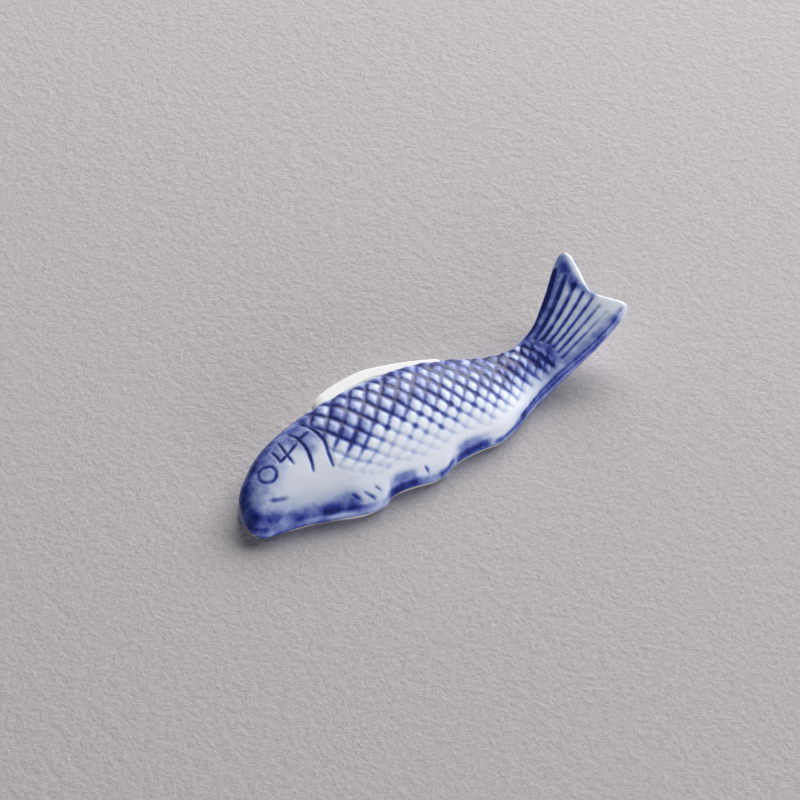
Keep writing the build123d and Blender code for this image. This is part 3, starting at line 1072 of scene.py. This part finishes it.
# on the belly wall: strength, radius in mm, places as distance along and height up the wall; the coats low
# on the wall also paint the shade where it meets the table
wall_paint_and_shade = [
    (0.42, 1.3, [(-36.7, 1.6), (-34.0, 1.8), (-30.0, 1.9)]),
    (0.30, 1.0, [(-36.7, 0.2), (-36.4, 2.0)]),
    (0.60, 0.5, [(-36.6, 2.2), (-35.4, 2.1)]),
    (0.44, 0.9, [(-30.0, 2.1), (-25.0, 2.1), (-20.0, 2.2)]),
    (0.82, 0.60, [(-25.6, 2.25), (-20.8, 2.4)]),
    (0.36, 0.9, [(-33.0, 0.4), (-26.0, 0.4)]),
    (0.18, 0.9, [(-26.0, 0.5), (-20.0, 0.6)]),
    (0.26, 1.0, [(-20.0, 1.6), (-15.0, 1.4)]),
    (0.84, 1.3, [(-13.4, 1.2), (-10.6, 1.1)]),
    (0.34, 0.8, [(-9.6, 1.2), (-6.0, 1.2)]),
    (0.60, 0.7, [(-5.4, 1.2), (-3.0, 1.4)]),
    (0.80, 1.2, [(-0.6, 1.2), (3.6, 1.3)]),
    (0.50, 0.55, [(6.0, 1.0), (12.6, 1.4)]),
    (0.66, 0.28, [(12.0, 2.1), (20.0, 2.3), (28.0, 2.3), (34.0, 2.3)]),
    (0.44, 0.40, [(12.0, 1.5), (20.0, 1.4), (26.0, 1.3), (31.0, 1.2)]),
    (0.34, 1.4, [(11.6, 1.5), (26.0, 1.4), (34.0, 1.4)]),
    # painted shade along the foot, where the wall meets the table
    (0.52, 0.50, [(-36.0, 0.0), (34.0, 0.0)]),
]
thin_glaze_and_highlight = [
    # the raised rim of the tail stays white: the glaze runs thin there, and the white is also a painted
    # highlight on its rounded edge
    (0.80, 0.50, [(36.3, 8.4), (35.5, 5.6), (35.0, 3.6), (34.7, 1.6)]),
    (0.85, 0.9, [(34.8, -2.4), (35.6, -4.4)]),
]
print("washes:", len(washes), "from above,", len(wall_paint_and_shade), "on the belly wall")

# %% Ink in the lines
behind_head = [(-17.3, 5.6), (-13.6, 5.6), (-8.6, 5.2), (-4.0, 4.6)]
behind_gill = [(-17.6, 0.6), (-15.4, -1.6)]
mid_flank = [(-11.0, 0.8), (-6.4, 0.4), (-2.0, 1.4)]
rear_back = [(-2.0, 4.0), (4.0, 2.0), (9.4, 0.2)]
low_flank = [(-16.0, -3.0), (-4.0, -4.0), (8.0, -5.0)]
steep_ink = [
    # the lines that slant up to the head hold the most colour
    (0.80, 3.2, behind_head),
    (0.75, 2.8, mid_flank),
    (0.85, 3.6, rear_back),
    (0.70, 3.0, behind_gill),
    (0.80, 3.4, [(0.0, -2.0), (8.0, -2.8), (13.0, -3.6)]),
    (1.00, 3.6, [(14.0, -0.2), (18.6, -2.4), (21.6, -4.0)]),
    (0.14, 5.0, low_flank),
]
slanted_ink = [
    (0.80, 3.2, behind_head),
    (0.70, 2.8, mid_flank),
    (0.70, 3.0, behind_gill),
    (0.50, 3.2, rear_back),
    (0.40, 3.0, [(2.0, -1.4), (8.0, -2.8), (13.0, -3.6)]),
    (0.18, 3.4, [(14.0, -0.2), (18.6, -1.8), (21.6, -3.4)]),
    (0.12, 5.0, low_flank),
]
corner_ink = [
    (0.85, 4.2, [(-17.0, 4.6), (-8.0, 4.2), (2.0, 3.0), (12.0, -0.2)]),
    (0.55, 4.0, [(-15.0, -0.6), (-4.0, -1.2), (8.0, -3.0)]),
    (0.32, 3.0, [(-12.0, -4.4), (0.0, -4.8), (8.0, -5.0)]),
]
rim_ink = [
    # a thin line where the brush went round the fork
    (0.50, 0.22, [(36.3, 6.6), (35.5, 3.66), (34.75, 1.5), (34.45, 0.0), (34.65, -1.24), (35.2, -2.5)]),
]
ray_ink = [
    (0.95, 3.4, [(34.0, 6.6), (29.0, 3.6), (24.0, 0.0)]),
    (0.62, 3.6, [(33.0, 0.0), (25.0, -4.0)]),
]
# the washes from above take over round the top of the belly wall, where the girth is 1
wall_end, wall_blend = 0.92, 0.20
on_top = np.clip((girth_share - wall_end) / wall_blend, 0, 1)
# behind the crest, where the girth is 2, the coat gets thinner down to the back's foot
back_girth, back_coat = (2.0, 2.6, 4.0), (1.0, 0.95, 0.45)
on_back = np.interp(girth_share, back_girth, back_coat)
wash = brushed(washes, in_plan) * on_top * on_back + brushed(wall_paint_and_shade, on_wall_at) * (1 - on_top)
# the white of the thin glaze and the painted highlight on the tail's rim
rim_white_and_highlight = brushed(thin_glaze_and_highlight, in_plan) * on_top
tail_ink = brushed(ray_ink, in_plan)
print("wash from", round(float(wash.min()), 2), "to", round(float(wash.max()), 2))

# %% [markdown]
# Each scale holds its own share of the wash, deepest in the corner towards the head and nearly
# white at the other corner. The deep corner is partly glaze that runs together where the press
# is deepest, and partly painted shade of the relief on the side turned from the light. A sine
# with a large factor gives each scale and each crossing a number of its own between 0 and 1,
# the same in every run. The ink of a line falls off over a share of the scale's side, and the
# steep lines are broader at the root of the tail.

# %% Colour of each scale
steep, slanted = kept_values("steep_line"), kept_values("slanted_line")
scale_part = kept_values("scale_part")
along_scale, across_scale = steep - np.floor(steep), slanted - np.floor(slanted)


def own_number(first, second, factors):
    """A number from 0 to 1 that looks random, for each pair of line numbers."""
    waves = np.sin(first * factors[0] + second * factors[1]) * factors[2]
    return np.modf(np.abs(waves))[0]


tone = own_number(np.floor(steep), np.floor(slanted), (12.9898, 78.233, 43758.5453))
knot = own_number(np.round(steep), np.round(slanted), (39.346, 11.135, 24634.6345))
# pooled glaze and painted shade: 1 in the corner towards the head, and 0 from three quarters of the way
# across the scale on
pool_shade_start, pool_shade_slope = 1.25, 0.85
glaze_pool_and_shade = np.clip(pool_shade_start - pool_shade_slope * (along_scale + across_scale), 0, 1)
least_tone, tone_range, smallest_pool_and_shade = 0.50, 0.9, 0.40
# each scale's wash, with the painted shade of its relief in the corner towards the head
per_scale_paint_and_shade = (least_tone + tone_range * tone) * (smallest_pool_and_shade + glaze_pool_and_shade)
wash = wash * (1 - scale_part) + wash * per_scale_paint_and_shade * scale_part
line_share, extra_share = 0.15, 0.09
tail_root = [(1.0, 4.0, [(15.0, -1.0), (22.0, -4.0)])]
broad = line_share + extra_share * brushed(tail_root, in_plan)
near_steep = np.exp(-((np.minimum(along_scale, 1 - along_scale) / broad) ** 2))
near_slanted = np.exp(-((np.minimum(across_scale, 1 - across_scale) / line_share) ** 2))
least_knot, knot_range = 0.35, 1.1
corner = kept_values("net_corner") * (least_knot + knot_range * knot)
print("scales hold from", round(float(per_scale_paint_and_shade.min()), 2), "to", round(float(per_scale_paint_and_shade.max()), 2))

# %% Washes and lines together
net_ink = np.maximum(near_steep * brushed(steep_ink, in_plan), near_slanted * brushed(slanted_ink, in_plan))
net_ink = np.clip(net_ink + corner * brushed(corner_ink, in_plan), 0, 1) * scale_part
# the rays are drawn thin at the belly side and broad at the back: place in mm, power
ray_places, ray_powers = (-5.0, 3.5), (2.6, 0.7)
thin = np.interp(where[:, 1], ray_places, ray_powers)
rays = kept_values("ray_line") ** thin * tail_ink
lines = np.clip(net_ink + rays + kept_values("stroke_line") + brushed(rim_ink, in_plan), 0, 1)
is_fin_point = kept_values("is_fin")
wash_strength, line_strength, thickest = 1.12, 1.05, 1.2
cobalt = wash * wash_strength * (1 - rim_white_and_highlight) + lines * line_strength
cobalt = np.clip(cobalt * (1 - is_fin_point), 0, thickest)
skin_mesh.attributes.new("cobalt", "FLOAT", "POINT").data.foreach_set("value", cobalt)
skin_mesh.attributes.new("fin_white", "FLOAT", "POINT").data.foreach_set("value", is_fin_point)
print("cobalt: mean", round(float(cobalt.mean()), 3), "most", round(float(cobalt.max()), 3))

# %% [markdown]
# ## Finishes
# Underglaze cobalt on porcelain: white clay, a blue that is dark where it lies thick, and over
# both a clear glass. Glass has an index of refraction near 1.5. This old-style glaze is a
# little satin and not like a mirror, so its highlights are soft, and waves of 3.5 mm in it
# make them wander. The brush leaves clouds of 1.7 mm in the blue, and the kiln speckles of
# 0.5 mm.

# %% Glazed cobalt porcelain
glaze.use_nodes = True
tree = glaze.node_tree
place = add_node(tree, "ShaderNodeTexCoord").outputs["Object"]
paint = add_node(tree, "ShaderNodeAttribute", attribute_name="cobalt").outputs["Fac"]
fin = add_node(tree, "ShaderNodeAttribute", attribute_name="fin_white").outputs["Fac"]
noises = {}
for name, size, detail in (("brush", 1.7, 4.0), ("speckle", 0.5, 2.0), ("wave", 3.5, 1.0)):
    terms = {"Vector": place, "Scale": 1 / (size * mm), "Detail": detail}
    noises[name] = add_node(tree, "ShaderNodeTexNoise", terms)
thick = paint
# a noise mostly stays between these two values
usual = {"From Min": 0.3, "From Max": 0.7}
for name, least, most in (("brush", 0.66, 1.34), ("speckle", 0.93, 1.07)):
    terms = {"Value": noises[name], "To Min": least, "To Max": most, **usual}
    uneven = add_node(tree, "ShaderNodeMapRange", terms)
    thick = add_node(tree, "ShaderNodeMath", {0: thick, 1: uneven}, operation="MULTIPLY")
blues = add_node(tree, "ShaderNodeValToRGB", {"Fac": thick})
ramp = blues.color_ramp
stops = [
    (0.0, "#F5F8FF"), (0.15, "#D0D9F0"), (0.35, "#909FD2"),
    (0.56, "#5A68B2"), (0.78, "#34449B"), (1.0, "#1C2468"),
]
for stop, (position, colour) in zip((ramp.elements[0], ramp.elements[1]), (stops[0], stops[-1])):
    stop.position, stop.color = position, linear(colour)
for position, colour in stops[1:-1]:
    ramp.elements.new(position).color = linear(colour)
terms = {0: fin, 6: blues, 7: linear("#F8F7F5")}
colour = add_node(tree, "ShaderNodeMix", terms, data_type="RGBA").outputs[2]
# the fin's bare white is duller than the painted skin
dull = add_node(tree, "ShaderNodeMapRange", {"Value": fin, "To Min": 0.33, "To Max": 0.60})
bump = add_node(tree, "ShaderNodeBump", {"Height": noises["wave"], "Strength": 0.25, "Distance": 0.10 * mm})
# a satin glaze mirrors a little less than clean glass does
finish = {"IOR": 1.5, "Specular IOR Level": 0.32, "Base Color": colour, "Roughness": dull, "Normal": bump}
set_inputs(tree.nodes["Principled BSDF"], finish)
print(glaze.name, "with", len(stops), "blues")

# %% [markdown]
# The foot is the same porcelain without glaze, fired bare so that it doesn't stick in the kiln:
# matt, a little warm and greyed by use, in cloudy patches of 4 mm, with a grain of 0.2 mm. It
# is the solid model's own clay body, which only needs this finish.

# %% Bare fired clay
clay = bpy.data.materials.new("bare_fired_porcelain")
clay.use_nodes = True
tree = clay.node_tree
place = add_node(tree, "ShaderNodeTexCoord").outputs["Object"]
noises = {}
for name, size in (("patch", 4.0), ("grain", 0.2)):
    terms = {"Vector": place, "Scale": 1 / (size * mm), "Detail": 3.0}
    noises[name] = add_node(tree, "ShaderNodeTexNoise", terms)
terms = {0: noises["patch"], 6: linear("#D8D5D0"), 7: linear("#C4BFB8")}
tint = add_node(tree, "ShaderNodeMix", terms, data_type="RGBA").outputs[2]
bump = add_node(tree, "ShaderNodeBump", {"Height": noises["grain"], "Strength": 0.5, "Distance": 0.03 * mm})
finish = {"IOR": 1.5, "Base Color": tint, "Roughness": 0.75, "Normal": bump}
set_inputs(tree.nodes["Principled BSDF"], finish)
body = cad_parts["porcelain_body"]
for slot in body.material_slots:
    slot.material = clay
print("materials:", glaze.name, clay.name)

# %% [markdown]
# ## Handing the pieces over
# The glazed skin stands for the solid glaze coat, and the clay body stays as it was modelled.
# Nothing moves on a chopstick rest, so the skin rides on the one body of the part.

# %% Hand over
for helper in (scale_net, scale_field, tail_rays, stroke_lines):
    bpy.data.objects.remove(helper, do_unlink=True)
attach(fish, "root")
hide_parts("glaze_coat")
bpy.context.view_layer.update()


def box_list(box):
    """A box as plain lists of numbers."""
    return [[float(v) for v in corner] for corner in box]


print("solid box:", box_list(solid_box))
